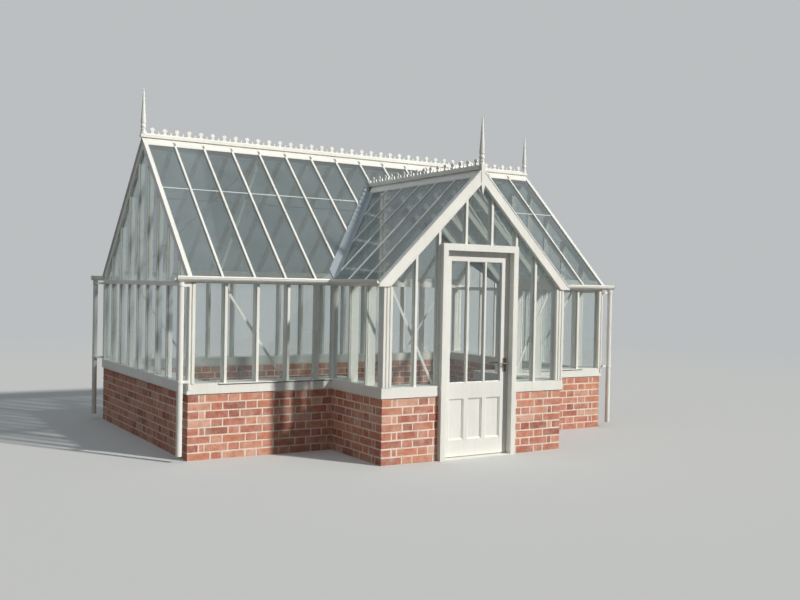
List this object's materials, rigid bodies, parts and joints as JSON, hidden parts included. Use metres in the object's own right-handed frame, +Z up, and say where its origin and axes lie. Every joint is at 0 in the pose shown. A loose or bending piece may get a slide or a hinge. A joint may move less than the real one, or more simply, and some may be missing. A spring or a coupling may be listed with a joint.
{
  "type": "glass greenhouse",
  "caption": "Glazed metal greenhouse on a low brick wall, with a gabled porch, half-glazed door, ridge cresting and finials.",
  "frame": {"origin": "On the ground, under the middle of the building's outer box", "axes": "+X along the main ridge towards the right end seen from the porch, +Y from the porch to the back wall, +Z up"},
  "size_m": [5.26, 4.048, 3.5852],
  "materials": {
    "brickwork": "matt fired clay with lime mortar",
    "white_frame": "satin powder coat",
    "clear_glass": "clear",
    "door_paint": "satin powder coat",
    "valley_metal": "satin pale grey coat",
    "handle_metal": "aged dark bronze",
    "hinge_metal": "satin"
  },
  "bodies": {
    "house": {"back_wall": "brickwork", "end_walls": "brickwork", "front_walls": "brickwork", "porch_walls": "brickwork", "house_sills": "white_frame", "porch_sills": "white_frame", "posts": "white_frame", "front_wall_bars": "white_frame", "back_wall_bars": "white_frame", "eaves_beams": "white_frame", "porch_eaves_beams": "white_frame", "end_transoms": "white_frame", "end_wall_bars": "white_frame", "porch_wall_bars": "white_frame", "front_roof_bars": "white_frame", "back_roof_bars": "white_frame", "end_rafters": "white_frame", "porch_roof_bars": "white_frame", "ridge": "white_frame", "porch_ridge": "white_frame", "cresting": "white_frame", "ridge_finials": "white_frame", "porch_finial": "white_frame", "barge_boards": "white_frame", "gutters": "white_frame", "porch_gutters": "white_frame", "downpipes": "white_frame", "wind_braces": "white_frame", "door_posts": "white_frame", "door_head": "white_frame", "threshold": "white_frame", "front_wall_glass": "clear_glass", "back_wall_glass": "clear_glass", "end_wall_glass": "clear_glass", "front_roof_glass": "clear_glass", "back_roof_glass": "clear_glass", "porch_roof_glass": "clear_glass", "porch_wall_glass": "clear_glass", "valleys": "valley_metal", "frame_hinges": "hinge_metal"},
    "door": {"door_leaf": "door_paint", "door_panels": "door_paint", "door_glass": "clear_glass", "handle_plates": "handle_metal", "door_hinges": "hinge_metal"},
    "lever": {"door_lever": "handle_metal"}
  },
  "joints": [
    {"name": "door_hinge", "type": "hinge", "parent": "house", "child": "door", "pos_m": [-0.393, -1.9, 0.98], "axis": [0, 0, 1], "range_deg": [0, 100]},
    {"name": "lever_turn", "type": "hinge", "parent": "door", "child": "lever", "pos_m": [0.3435, -1.929, 0.88], "axis": [0, -1, 0], "range_deg": [0, 40], "stiffness_Nm_per_rad": 1.5, "springref_deg": -28.65}
  ]
}
